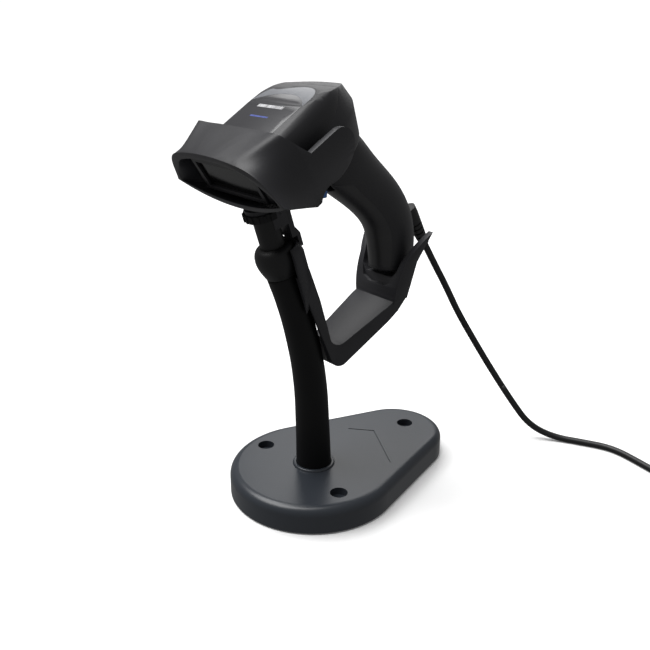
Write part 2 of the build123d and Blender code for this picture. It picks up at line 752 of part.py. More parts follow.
def strip_region():
    """Front of the handle, from below the trigger to its end."""
    planes = handle_planes()
    line = []
    for plane in planes[1:]:
        front = plane.z_dir.cross(Vector(1, 0, 0)) * -1
        if front.Y > 0:
            front = front * -1
        point = plane.origin + front * STRIP_OFFSET
        line.append((point.Y, point.Z))
    low = (line[-1][0], line[-1][1] - 20)
    front = line[0][0] - 50
    corner = (front, low[1])
    top = (front, line[0][1])
    edges = [Spline(*line), Line(line[-1], low), Line(low, corner), Line(corner, top), Line(top, line[0])]
    return prism(edges, 40)


def trigger_pocket():
    """Opening in the lower housing that the trigger moves in."""
    edges = polygon([(39.5, -14), (39.5, -41), (49.0, -48.0), (56.4, -42.4), (66, -41.6), (66, -14)])
    return HEAD * prism(edges, TRIGGER_HALF_WIDTH + TRIGGER_GAP)


def cap_region():
    end = handle_planes()[-1]
    return end * block((-40, 40), (-40, 40), (-CAP_THICKNESS, 20))


def boss(x, s, low, high):
    return HEAD * cylinder(SCREW_RADIUS + 1.8, high - low, Pos(x, s, low))


def top_cover():
    body = (housing_form() - housing_hollow()) & top_region()
    for x, s in BOSSES:
        body += boss(x, s, 7, HEAD_TOP - SHELL + 0.4) & HEAD * head_form(0.4)
        body -= HEAD * cylinder(SCREW_RADIUS, 9, Pos(x, s, 7))
    body -= HEAD * window_hole()
    body -= HEAD * panel_form(PANEL_START, PANEL_THICKNESS)
    return body


def panel_form(start, depth):
    """Bullet-shaped recess in the flat top of the head."""
    half = PANEL_HALF_WIDTH
    end = PANEL_ARC_START
    reach = PANEL_ARC_LENGTH
    k = PANEL_BACK_FULLNESS
    back = [(half, end), (half * k, end + reach * k), (0, end + reach)]
    back += [(-x, y) for x, y in reversed(back[:2])]
    edges = [
        Line((-half, start), (half, start)),
        Line((half, start), (half, end)),
        Spline(*back, tangents=[(0, 1), (0, -1)]),
        Line((-half, end), (-half, start)),
    ]
    plug = Pos(0, 0, HEAD_TOP - 20) * extrude(make_face(edges), 30)
    return meet(plug, head_form() - Pos(0, 0, -depth) * head_form())


def label_panel():
    """Flat inlay on the head, cut away behind for the indicator lens."""
    return HEAD * (panel_form(PANEL_START, PANEL_THICKNESS) - crescent_cut())


def crescent_cut():
    """Disc-shaped limit between the inlay and the crescent lens."""
    radius = PANEL_HALF_WIDTH + 8
    centre = PANEL_ARC_START + PANEL_ARC_LENGTH - CRESCENT_WIDTH - radius
    disc = Pos(0, centre, HEAD_TOP - 10) * Cylinder(radius, 40)
    rear = block((-40, 40), (centre, 120), (HEAD_TOP - 10, HEAD_TOP + 10))
    return rear - disc


def indicator_lens():
    return HEAD * (panel_form(PANEL_START, PANEL_THICKNESS) & crescent_cut())


def lower_housing():
    body = housing_form() - housing_hollow() - top_region() - strip_region() - cap_region()
    for x, s in BOSSES:
        floor = HEAD_BOTTOM + SHELL - 0.6
        body += boss(x, s, floor, 2.6) & HEAD * head_form(0.4)
        body -= HEAD * cylinder(SCREW_RADIUS, 60, Pos(x, s, -40))
        body -= HEAD * cylinder(SCREW_HEAD_RADIUS, 30 + floor + 2.4, Pos(x, s, -30))
    body -= HEAD * window_hole()
    body -= trigger_pocket()
    body -= relief_form(FIT_GAP)
    body += pivot_walls()
    body -= pivot(0.02)
    return body


def pivot_walls():
    """Lugs inside the head that carry the trigger's pin."""
    lugs = []
    for side in (-1, 1):
        low = TRIGGER_HALF_WIDTH + TRIGGER_GAP
        x = sorted((side * low, side * (low + 2.4)))
        lugs.append(HEAD * block(x, (PIVOT_S - 4, PIVOT_S + 4), (HEAD_BOTTOM + 1, PIVOT_U + 4)))
    return Compound(children=lugs)


def pivot(extra=0.0):
    half = TRIGGER_HALF_WIDTH + TRIGGER_GAP + 2.4
    return HEAD * Pos(0, PIVOT_S, PIVOT_U) * Rot(0, 90, 0) * Cylinder(PIVOT_RADIUS + extra, 2 * half)


def handle_strip():
    body = (housing_form() - housing_hollow()) & strip_region()
    return body - cap_region() - top_region() - trigger_pocket()


def handle_cap():
    """End cap that closes the handle and carries the cord socket's opening."""
    body = (handle_form()) & cap_region()
    return fillet(body.edges().group_by(Axis.Z)[0], 2.0)


# ================================================================ scanner front and inside
def window_hole():
    x = WINDOW_HALF_WIDTH
    return block((-x, x), (HEAD_FRONT - 4, HEAD_FRONT + 6), (WINDOW_BOTTOM, WINDOW_TOP))


def frame_ring(margin, s_low, s_high, hole=0.0):
    x = WINDOW_HALF_WIDTH
    outer = block((-x - margin, x + margin), (s_low, s_high), (WINDOW_BOTTOM - margin, WINDOW_TOP + margin))
    inner = block((-x + hole, x - hole), (s_low - 1, s_high + 1), (WINDOW_BOTTOM + hole, WINDOW_TOP - hole))
    return HEAD * (outer - inner)


def nose_bezel():
    return frame_ring(2.4, HEAD_FRONT - 1.4, HEAD_FRONT, 0.8)


def scan_window():
    gap = FIT_GAP
    x = WINDOW_HALF_WIDTH - gap
    height = (WINDOW_BOTTOM + gap, WINDOW_TOP - gap)
    return HEAD * block((-x, x), (HEAD_FRONT + 0.1, HEAD_FRONT + SHELL), height)


def window_gasket():
    return frame_ring(0.5, HEAD_FRONT + SHELL, HEAD_FRONT + SHELL + 1.0, 1.6)


def illumination_board():
    plate = block((-24, 24), (BOARD_S, BOARD_S + BOARD_THICKNESS), (-1, 17))
    return HEAD * (plate - Pos(0, BOARD_S, IMAGER_U) * Rot(90, 0, 0) * Cylinder(6.2, 10))


def imager_module():
    low = BOARD_S + BOARD_THICKNESS
    return HEAD * block((-11, 11), (low, low + 15), (-2, 17))


def imager_lens():
    barrel = cylinder(5.6, 6.5, HEAD * Pos(0, BOARD_S + BOARD_THICKNESS, IMAGER_U) * Rot(90, 0, 0))
    bowl = HEAD * Pos(0, BOARD_S + BOARD_THICKNESS - 11.5, IMAGER_U) * Sphere(6.0)
    return barrel - bowl


def led_lenses():
    return [cylinder(3.6, 4.2, HEAD * Pos(x, BOARD_S, IMAGER_U) * Rot(90, 0, 0)) for x in (-18, 18)]


def main_board():
    return HEAD * block((-17, 17), (40, 78), (MAIN_BOARD_U, MAIN_BOARD_U + BOARD_THICKNESS))


def decoder_chip():
    top = MAIN_BOARD_U + BOARD_THICKNESS
    return HEAD * block((-7, 7), (44, 58), (top, top + 1.6))


def beeper():
    top = MAIN_BOARD_U + BOARD_THICKNESS
    return cylinder(6.0, 5.0, HEAD * Pos(6, 69, top)) - cylinder(1.2, 9, HEAD * Pos(6, 69, top + 2))


def indicator_led():
    top = MAIN_BOARD_U + BOARD_THICKNESS
    return HEAD * block((-9, -5), (72, 76), (top, top + 2))


def flex_cable():
    """Flat ribbon from the imager to the main board."""
    low = BOARD_S + BOARD_THICKNESS + 15
    top = MAIN_BOARD_U
    side = [(low, 2.0), (low + 2.4, 2.0), (44, top - 0.4), (44, top), (low + 2.2, 2.4), (low, 2.4)]
    return HEAD * prism(polygon(side), 6)


def trigger_form():
    """Curved finger lever in the head's frame, (s, u) outline."""
    front = Spline((42.6, -19), (42.8, -28), (44.2, -36.5), (50.2, -42.0))
    back = Spline((52.4, -39.0), (49.8, -33.5), (48.8, -28), (48.6, -19))
    edges = [front, Line((50.2, -42.0), (52.4, -39.0)), back]
    head = ThreePointArc((48.6, -19), (PIVOT_S, PIVOT_U + 3.4), (42.6, -19))
    return prism(edges + [head], TRIGGER_HALF_WIDTH)


def trigger():
    nib = block((-2, 2), (49, 56.6), (-33, -30))
    body = trigger_form() + nib
    return HEAD * (body - Pos(0, PIVOT_S, PIVOT_U) * Rot(0, 90, 0) * Cylinder(PIVOT_RADIUS + 0.05, 40))


def trigger_pin():
    return pivot()


def trigger_switch():
    return HEAD * block((-3, 3), (SWITCH_S, SWITCH_S + SWITCH_DEPTH), (-34.5, -28.5))


def trigger_board():
    low = SWITCH_S + SWITCH_DEPTH
    return HEAD * block((-7, 7), (low, low + 1.2), (-41, -24))


def trigger_spring():
    """Leaf spring that pushes the trigger back out."""
    far = SWITCH_S + SWITCH_DEPTH
    side = [(50.8, -24.0), (51.2, -24.0), (far, -25.2), (far, -25.6), (51.0, -24.6)]
    return HEAD * prism(polygon(side), 2.5)


def main_screws():
    low = HEAD_BOTTOM + SHELL + 1.8
    screws = []
    for x, s in BOSSES:
        screws.append(HEAD * screw(MAIN_SCREW_LENGTH, Pos(x, s, low - SCREW_HEAD_HEIGHT)))
    return screws


def cord_socket():
    end = handle_planes()[-2]
    return end * block((-6, 6), (-7, 7), (-8, 4))


# ================================================================ cord
def relief_axis():
    tip = Vector(*UPPER_ROUTE[0])
    aim = (tip - Vector(*UPPER_ROUTE[1])).normalized()
    return tip, aim


def relief_form(grow=0.0):
    """Cone-shaped strain relief, from inside the handle out to the cord."""
    tip, aim = relief_axis()
    place = Plane(origin=tip, x_dir=(1, 0, 0), z_dir=aim)
    long = RELIEF_LENGTH
    full = long + RELIEF_ROOT
    tip_radius = RELIEF_TIP_RADIUS + grow
    root = RELIEF_ROOT_RADIUS + grow
    profile = [(0, 0), (tip_radius, 0), (root, long), (root, full + grow), (0, full + grow)]
    return place * spin(profile)


def strain_relief():
    """The cone, ringed with slots so that it flexes."""
    body = relief_form()
    tip, aim = relief_axis()
    place = Plane(origin=tip, x_dir=(1, 0, 0), z_dir=aim).location
    for k in range(RELIEF_SLOTS):
        at = 3.5 + RELIEF_SLOT_PITCH * k
        radius = RELIEF_TIP_RADIUS + (RELIEF_ROOT_RADIUS - RELIEF_TIP_RADIUS) * at / RELIEF_LENGTH
        ring = Cylinder(radius + 2, RELIEF_SLOT) - Cylinder(radius - RELIEF_SLOT_DEPTH, RELIEF_SLOT)
        body -= place * Pos(0, 0, at) * ring
    return body


def cord_tube(route):
    """Straight runs joined by arcs as large as the runs allow."""
    points = [Vector(*p) for p in route]
    runs = [(b - a) for a, b in zip(points, points[1:])]
    radii = []
    for before, after in zip(runs, runs[1:]):
        turn = radians(before.get_angle(after))
        radii.append(0.45 * min(before.length, after.length) / tan(turn / 2))
    print("cord radii", [round(r) for r in radii])
    path = FilletPolyline(*points, radius=radii)
    section = Plane(origin=points[0], z_dir=runs[0]) * Circle(CORD_RADIUS)
    tube = sweep(section, path=path)
    expected = pi * CORD_RADIUS**2 * path.length
    print("cord volume", round(tube.volume), "section x length", round(expected))
    return tube


def coil_height():
    return 2 * CORD_RADIUS * COIL_LAYERS


def cord_coil():
    """Outer form of the wound length."""
    half = CORD_RADIUS * COIL_LAYERS
    inner = COIL_MEAN_RADIUS - half
    outer = COIL_MEAN_RADIUS + half
    place = Pos(*COIL_CENTRE, 0)
    ring = cylinder(outer, coil_height(), place) - cylinder(inner, coil_height(), place)
    return fillet(ring.edges().filter_by(GeomType.CIRCLE), CORD_RADIUS)


def plug_place():
    """Frame of the plug: it leaves the coil along a tangent, lying flat."""
    angle = radians(PLUG_ANGLE)
    reach = COIL_MEAN_RADIUS + CORD_RADIUS * (COIL_LAYERS - 1)
    x = COIL_CENTRE[0] + reach * cos(angle)
    y = COIL_CENTRE[1] + reach * sin(angle)
    return Location((x, y, PLUG_THICKNESS / 2), (0, 0, PLUG_ANGLE + 90)) * Pos(14, 0, 0)


def cord_plug():
    body = Box(PLUG_LENGTH, PLUG_WIDTH, PLUG_THICKNESS)
    body = fillet(body.edges().filter_by(Axis.X), PLUG_ROUND)
    boot = Rot(0, 90, 0) * Cone(RELIEF_TIP_RADIUS, PLUG_THICKNESS / 2 - 0.1, BOOT_LENGTH)
    body = Pos(BOOT_LENGTH + PLUG_LENGTH / 2, 0, 0) * body
    return plug_place() * (body + Pos(BOOT_LENGTH / 2, 0, 0) * boot)


def plug_contact():
    at = BOOT_LENGTH + PLUG_LENGTH + CONTACT_LENGTH / 2
    skin = 2 * CONTACT_SKIN
    shell = Box(CONTACT_LENGTH, CONTACT_WIDTH, CONTACT_THICKNESS)
    inside = Pos(1, 0, 0) * Box(CONTACT_LENGTH, CONTACT_WIDTH - skin, CONTACT_THICKNESS - skin)
    tab = Pos(-0.4, 0, -0.9) * Box(CONTACT_LENGTH - skin, CONTACT_WIDTH - skin, 1.9)
    return plug_place() * Pos(at, 0, 0) * (shell - inside + tab)


def coil_tie():
    """Strap round the coil's turns."""
    half = CORD_RADIUS * COIL_LAYERS
    height = coil_height()
    place = Pos(COIL_CENTRE[0], COIL_CENTRE[1], 0) * Rot(0, 0, 200) * Pos(COIL_MEAN_RADIUS, 0, height / 2)
    outer = Box(2 * half + 2 * TIE_THICKNESS, TIE_WIDTH, height + TIE_THICKNESS)
    inner = Box(2 * half, TIE_WIDTH + 2, height)
    return place * (Pos(0, 0, TIE_THICKNESS / 2) * outer - inner)


PIECES = {
    "base_shell": base_shell,
    "ballast_plate": ballast_plate,
    "bottom_cover": bottom_cover,
    "rubber_feet": rubber_feet,
    "cover_screws": cover_screws,
    "base_ring": base_ring,
    "neck_foot": neck_foot,
    "neck_washer": neck_washer,
    "neck_nut": neck_nut,
    "neck_sleeve": neck_sleeve,
    "gooseneck_core": gooseneck_core,
    "neck_ferrule": neck_ferrule,
    "neck_stem": neck_stem,
    "holder_cup": holder_cup,
    "holder_arm": holder_arm,
    "socket_grip": socket_grip,
    "swivel_screws": lambda: [set_screw(angle) for angle in SCREW_ANGLES],
    "tab_screws": lambda: [tab_screw(x) for x in (-TAB_SCREW_X, TAB_SCREW_X)],
    "cup_pads": cup_pads,
    "top_cover": top_cover,
    "lower_housing": lower_housing,
    "handle_strip": handle_strip,
    "handle_cap": handle_cap,
    "label_panel": label_panel,
    "indicator_lens": indicator_lens,
    "nose_bezel": nose_bezel,
    "scan_window": scan_window,
    "window_gasket": window_gasket,
    "illumination_board": illumination_board,
    "led_lenses": led_lenses,
    "imager_module": imager_module,
    "imager_lens": imager_lens,
    "main_board": main_board,
    "decoder_chip": decoder_chip,
    "beeper": beeper,
    "indicator_led": indicator_led,
    "flex_cable": flex_cable,
    "trigger": trigger,
    "trigger_pin": trigger_pin,
    "trigger_spring": trigger_spring,
    "trigger_switch": trigger_switch,
    "trigger_board": trigger_board,
    "housing_screws": main_screws,
    "cord_socket": cord_socket,
    "strain_relief": strain_relief,
    "cord_upper": lambda: cord_tube(UPPER_ROUTE),
    "cord_middle": lambda: cord_tube(MIDDLE_ROUTE),
    "cord_lower": lambda: cord_tube(LOWER_ROUTE),
    "cord_coil": cord_coil,
    "coil_tie": coil_tie,
    "cord_plug": cord_plug,
    "plug_contact": plug_contact,
}


def save(name, made):
    """Write one sub-part, one solid or a group of separate solids."""
    solids = []
    for item in made if isinstance(made, list) else [made]:
        solids.extend(item.solids())
    whole = solids[0] if len(solids) == 1 else Compound(children=solids)
    export_step(whole, f"parts/{name}.step")


def main():
    os.makedirs("parts", exist_ok=True)
    for name, make in PIECES.items():
        save(name, make())


if __name__ == "__main__":
    main()
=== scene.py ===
"""Handheld barcode scanner in its gooseneck desk stand: the looks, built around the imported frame."""

import json
import math

import bmesh
import bpy
from mathutils import Matrix, Vector
from mathutils.bvhtree import BVHTree

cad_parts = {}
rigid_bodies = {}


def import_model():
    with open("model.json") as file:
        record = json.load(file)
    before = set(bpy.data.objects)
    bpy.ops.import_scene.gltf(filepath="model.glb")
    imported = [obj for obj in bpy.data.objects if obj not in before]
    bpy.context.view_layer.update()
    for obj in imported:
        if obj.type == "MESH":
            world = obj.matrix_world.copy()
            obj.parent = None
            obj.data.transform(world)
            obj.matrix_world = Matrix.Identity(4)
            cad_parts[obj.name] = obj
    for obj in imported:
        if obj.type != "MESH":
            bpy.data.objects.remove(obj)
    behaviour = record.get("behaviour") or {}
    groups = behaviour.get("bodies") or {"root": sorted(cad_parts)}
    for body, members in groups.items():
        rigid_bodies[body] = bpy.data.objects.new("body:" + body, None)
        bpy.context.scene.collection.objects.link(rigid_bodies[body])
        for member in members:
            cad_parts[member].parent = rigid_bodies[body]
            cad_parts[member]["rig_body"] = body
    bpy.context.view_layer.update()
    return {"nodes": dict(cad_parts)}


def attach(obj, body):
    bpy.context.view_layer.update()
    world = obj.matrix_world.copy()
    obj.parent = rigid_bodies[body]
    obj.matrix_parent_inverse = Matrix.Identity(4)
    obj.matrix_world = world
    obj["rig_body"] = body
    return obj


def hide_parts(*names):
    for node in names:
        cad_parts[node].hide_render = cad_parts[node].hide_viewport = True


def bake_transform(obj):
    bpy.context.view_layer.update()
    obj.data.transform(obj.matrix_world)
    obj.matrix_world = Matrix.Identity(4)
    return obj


bl_info = {
    "name": "Barcode Scanner on Gooseneck Stand",
    "version": (1, 0, 0),
    "blender": (4, 5, 0),
    "location": "View3D > Sidebar > Scanner",
    "description": "Dresses a scanner and its desk stand with finishes, neck sleeve, cord and studio",
    "category": "Object",
}

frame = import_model()
NODES = frame["nodes"]
MM = 0.001

# ---------------------------------------------------------------- places, in millimetres
# The neck's middle line from the base's top into the ferrule, as (y, z).
NECK_LINE = [(0, 19), (-0.7, 44), (-3.2, 84), (-9, 114), (-17, 141), (-24.7, 160)]
NECK_STEPS = 14
NECK_SIDES = 40
# The frame that the head and the cup are drawn in: its origin, and its pitch in degrees.
HEAD_ORIGIN = (0, -59.1, 211.7)
HEAD_PITCH = 33.0
HEAD_PLACE = Matrix.Translation(Vector(HEAD_ORIGIN) * MM) @ Matrix.Rotation(math.radians(HEAD_PITCH), 4, "X")
CORD_RADIUS = 2.4
# Control points of the cord's line, from the strain relief down to the floor.
UPPER_ROUTE = [(0, 101, 157.4), (1.5, 110, 142), (5, 120.5, 123), (10, 130, 101.5), (14.5, 136, 89)]
MIDDLE_ROUTE = [(14.5, 136, 89), (19, 142, 76.5), (29.5, 150, 56), (36.5, 155.5, 43)]
LOWER_ROUTE = [
    (36.5, 155.5, 43),
    (43.5, 161, 30),
    (54, 171, 11),
    (69, 183, 2.4),
    (89, 194, 2.4),
    (108, 203, 2.4),
    (134, 199, 2.4),
    (153, 195, 2.4),
]
# Steps between control points: fewer where the coil's points are already close.
HANGING_STEPS = 12
COILED_STEPS = 6
# The winding: its centre, the radius of each column of turns and the height of each row.
COIL_CENTRE = (172.0, 222.0)
COIL_COLUMNS = (22.8, 27.6, 32.4)
COIL_ROWS = (2.4, 7.2, 12.0)
# Each turn's place in the winding, as (column, row), from the cord's entry to the plug.
COIL_TURNS = [(1, 0), (0, 0), (0, 1), (0, 2), (1, 2), (1, 1), (2, 1), (2, 0)]
COIL_POINTS_PER_TURN = 14
# Share of a turn over which the cord climbs or steps out to its next place in the winding.
COIL_CROSSING = 0.3
COIL_ENTRY_ANGLE = -100.0
COIL_EXIT_ANGLE = 52.0
# Where the cord leaves the winding for the plug: reach and direction from the centre, height, step.
PLUG_REACH = 32.4
PLUG_ANGLE = 62.0
PLUG_HEIGHT = 4.0
PLUG_STEP = 8.0

# Shares of a mottle's noise at which the dark and the light colour are full.
MOTTLE_BAND = (0.3, 0.72)
# Corners of a CAD mesh closer than this are one corner, and faces within this many degrees are one face.
MERGE_GAP = 0.01
FLAT_ANGLE = 0.6
# The metal conduit inside the neck: the part of the neck's line it fills, and its wire.
CONDUIT_SPAN = slice(6, -10)
CONDUIT_WIRE = 1.1
# The printed rows lie this far up the head from its origin; the ink is this thick.
BARS_ALONG = 50.5
LINE_ALONG = 41.0
LINE_HEIGHT_SHARE = 0.45
LINE_BARS = 12
INK = 0.06
INK_SINK = 0.01
# Height above the head's origin plane from which the rows are dropped onto the panel.
DROP_HEIGHT = 50.0

# ---------------------------------------------------------------- studio, in metres and degrees
FLOOR_HALF = 6.0
FLOOR_GLOW = 0.04
SEEN_SKY = 1.05
KEY_SPREAD = 50.0
KEY_TURN = (14.0, -16.0, 0.0)
STRIP_SIZE = (0.9, 0.5)
STRIP_POWER = 3.0
STRIP_PLACE = (-0.55, 0.75, 0.75)
STRIP_TARGET = (0.0, 0.0, 0.15)
CAMERA_PLACE = (0.3709, -0.2989, 0.3051)
CAMERA_DOWN = 21.2
CAMERA_TURN = 50.2
CAMERA_LENS = 43.86
WHITE = (1.0, 1.0, 1.0, 1.0)
FLOOR_PAINT = "#f7f7f7"


# ================================================================ small helpers
def linear(code):
    """An sRGB hex colour as linear RGBA."""
    parts = [int(code[i : i + 2], 16) / 255 for i in (1, 3, 5)]
    return tuple(c / 12.92 if c <= 0.04045 else ((c + 0.055) / 1.055) ** 2.4 for c in parts) + (1.0,)


def metres(points):
    """Points in millimetres as vectors in metres."""
    return [Vector(p) * MM for p in points]


def add_node(tree, kind, inputs=None, **settings):
    """Adds a node with its settings; each input is a value or the socket that feeds it."""
    node = tree.nodes.new(kind)
    for name, value in settings.items():
        setattr(node, name, value)
    for key, value in (inputs or {}).items():
        if isinstance(value, bpy.types.NodeSocket):
            tree.links.new(value, node.inputs[key])
        else:
            node.inputs[key].default_value = value
    return node


def add_mesh(name, vertices, faces, material, smooth=True):
    """A new object at the origin with its place in its mesh."""
    mesh = bpy.data.meshes.new(name)
    mesh.from_pydata([tuple(v) for v in vertices], [], faces)
    for face in mesh.polygons:
        face.use_smooth = smooth
    mesh.materials.append(material)
    obj = bpy.data.objects.new(name, mesh)
    bpy.context.scene.collection.objects.link(obj)
    return obj


def sampled(curve):
    """Points along a curve that has no bevel; the curve is used up."""
    holder = bpy.data.objects.new("line", curve)
    mesh = bpy.data.meshes.new_from_object(holder)
    line = [v.co.copy() for v in mesh.vertices]
    bpy.data.objects.remove(holder)
    bpy.data.curves.remove(curve)
    bpy.data.meshes.remove(mesh)
    return line


def new_curve(steps):
    """An empty space curve with this many steps between its points."""
    curve = bpy.data.curves.new("line", "CURVE")
    curve.dimensions = "3D"
    curve.resolution_u = steps
    return curve


def nurbs_line(points, steps):
    """Points along the NURBS spline that has these control points."""
    curve = new_curve(steps)
    spline = curve.splines.new("NURBS")
    spline.points.add(len(points) - 1)
    for at, point in zip(spline.points, points):
        at.co = (*point, 1.0)
    spline.order_u = 3
    spline.use_endpoint_u = True
    return sampled(curve)


def smooth_line(points, steps):
    """Points along a smooth line that passes through every given point."""
    curve = new_curve(steps)
    spline = curve.splines.new("BEZIER")
    spline.bezier_points.add(len(points) - 1)
    for at, point in zip(spline.bezier_points, points):
        at.co = point
        at.handle_left_type = at.handle_right_type = "AUTO"
    return sampled(curve)


def tube(name, line, radii, material, sides=20):
    """Closed round tube along a line, with one radius for each of its points."""
    normal = (line[1] - line[0]).orthogonal().normalized()
    vertices = []
    for i, point in enumerate(line):
        ahead = line[min(i + 1, len(line) - 1)] - line[max(i - 1, 0)]
        normal = (normal - normal.project(ahead)).normalized()
        side = ahead.normalized().cross(normal)
        for k in range(sides):
            turn = 2 * math.pi * k / sides
            vertices.append(point + radii[i] * (math.cos(turn) * normal + math.sin(turn) * side))
    faces = []
    for i in range(len(line) - 1):
        for k in range(sides):
            a, b = i * sides + k, i * sides + (k + 1) % sides
            faces.append((a, b, b + sides, a + sides))
    faces.append(tuple(reversed(range(sides))))
    faces.append(tuple(range(len(vertices) - sides, len(vertices))))
    return add_mesh(name, vertices, faces, material)


def baked(obj):
    """The piece with its modifiers worked into a plain mesh."""
    mesh = bpy.data.meshes.new_from_object(obj.evaluated_get(bpy.context.evaluated_depsgraph_get()))
    obj.modifiers.clear()
    obj.data = mesh
    return obj


def rounded_copy(node, name, width, material, angle):
    """A CAD node's shape with the edges sharper than an angle broken, as a moulded part's are."""
    mesh = NODES[node].data.copy()
    work = bmesh.new()
    work.from_mesh(mesh)
    bmesh.ops.remove_doubles(work, verts=work.verts, dist=MERGE_GAP * MM)
    bmesh.ops.dissolve_limit(
        work,
        angle_limit=math.radians(FLAT_ANGLE),
        verts=work.verts,
        edges=work.edges,
        use_dissolve_boundaries=False,
    )
    work.to_mesh(mesh)
    work.free()
    mesh.materials.clear()
    mesh.materials.append(material)
    obj = bpy.data.objects.new(name, mesh)
    bpy.context.scene.collection.objects.link(obj)
    bevel = obj.modifiers.new("edge", "BEVEL")
    bevel.width = width * MM
    bevel.segments = 2
    bevel.limit_method = "ANGLE"
    bevel.angle_limit = math.radians(angle)
    bevel.use_clamp_overlap = True
    baked(obj)
    obj.data.shade_smooth()
    obj.data.set_sharp_from_angle(angle=math.radians(angle))
    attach(obj, NODES[node]["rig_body"])
    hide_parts(node)
    return obj


# ================================================================ materials
def new_material(name, colour, roughness, metallic=0.0, ior=None, specular=None):
    """A material with its shader, and the tree to build its surface in."""
    material = bpy.data.materials.new(name)
    material.use_nodes = True
    tree = material.node_tree
    shader = tree.nodes["Principled BSDF"]
    shader.inputs["Base Color"].default_value = linear(colour)
    shader.inputs["Roughness"].default_value = roughness
    shader.inputs["Metallic"].default_value = metallic
    if ior:
        shader.inputs["IOR"].default_value = ior
    if specular is not None:
        shader.inputs["Specular IOR Level"].default_value = specular
    return material, tree, shader


def mottle(tree, shader, place, dark, light, size_mm):
    """Slow drift between two colours, as pigment and handling leave it."""
    noise = add_node(
        tree,
        "ShaderNodeTexNoise",
        {"Vector": place, "Scale": 1 / (size_mm * MM), "Detail": 3.0, "Roughness": 0.55},
    )
    ramp = add_node(tree, "ShaderNodeValToRGB", {"Fac": noise.outputs["Fac"]})
    for element, position, colour in zip(ramp.color_ramp.elements, MOTTLE_BAND, (dark, light)):
        element.position = position
        element.color = linear(colour)
    tree.links.new(ramp.outputs["Color"], shader.inputs["Base Color"])
    return noise


def vary_roughness(tree, shader, noise, low, high):
    """Lets a noise drive the gloss between two roughness values."""
    span = {"Value": noise.outputs["Fac"], "To Min": low, "To Max": high}
    rough = add_node(tree, "ShaderNodeMapRange", span)
    tree.links.new(rough.outputs["Result"], shader.inputs["Roughness"])


def grain(tree, shader, place, size_mm, depth_mm, low, high):
    """Spark-eroded mould grain: fine cells in the bump, and roughness that follows them."""
    scale = 1 / (size_mm * MM)
    cells = add_node(tree, "ShaderNodeTexVoronoi", {"Vector": place, "Scale": scale}, feature="SMOOTH_F1")
    fine = add_node(tree, "ShaderNodeTexNoise", {"Vector": place, "Scale": 2.2 * scale, "Detail": 4.0})
    both = {0: cells.outputs["Distance"], 1: fine.outputs["Fac"]}
    height = add_node(tree, "ShaderNodeMath", both, operation="ADD")
    relief = {"Height": height.outputs[0], "Distance": depth_mm * MM, "Strength": 1.0}
    bump = add_node(tree, "ShaderNodeBump", relief)
    tree.links.new(bump.outputs["Normal"], shader.inputs["Normal"])
    vary_roughness(tree, shader, fine, low, high)


def moulded(name, dark, light, low, high, size_mm=0.9, depth_mm=0.02, drift_mm=26.0, specular=0.42):
    """Moulded plastic or rubber: pigment drift, mould grain and a roughness range."""
    material, tree, shader = new_material(name, dark, (low + high) / 2, ior=1.5, specular=specular)
    place = add_node(tree, "ShaderNodeTexCoord").outputs["Object"]
    mottle(tree, shader, place, dark, light, drift_mm)
    grain(tree, shader, place, size_mm, depth_mm, low, high)
    return material


def plated(name, dark, light, low, high, brushed_mm):
    """Plated or rolled steel: fine lines along one way in colour and gloss."""
    material, tree, shader = new_material(name, dark, (low + high) / 2, metallic=1.0)
    place = add_node(tree, "ShaderNodeTexCoord").outputs["Object"]
    lines = add_node(tree, "ShaderNodeMapping", {"Vector": place, "Scale": (1.0, 1.0, 14.0)})
    noise = mottle(tree, shader, lines.outputs["Vector"], dark, light, brushed_mm)
    vary_roughness(tree, shader, noise, low, high)
    return material


def clear(name, colour, roughness, ior, transmission, dust):
    """Clear or tinted plastic or glass, with a little dust in its gloss."""
    material, tree, shader = new_material(name, colour, roughness, ior=ior)
    shader.inputs["Transmission Weight"].default_value = transmission
    place = add_node(tree, "ShaderNodeTexCoord").outputs["Object"]
    noise = add_node(tree, "ShaderNodeTexNoise", {"Vector": place, "Scale": 1 / (1.4 * MM), "Detail": 5.0})
    vary_roughness(tree, shader, noise, roughness, roughness + dust)
    return material


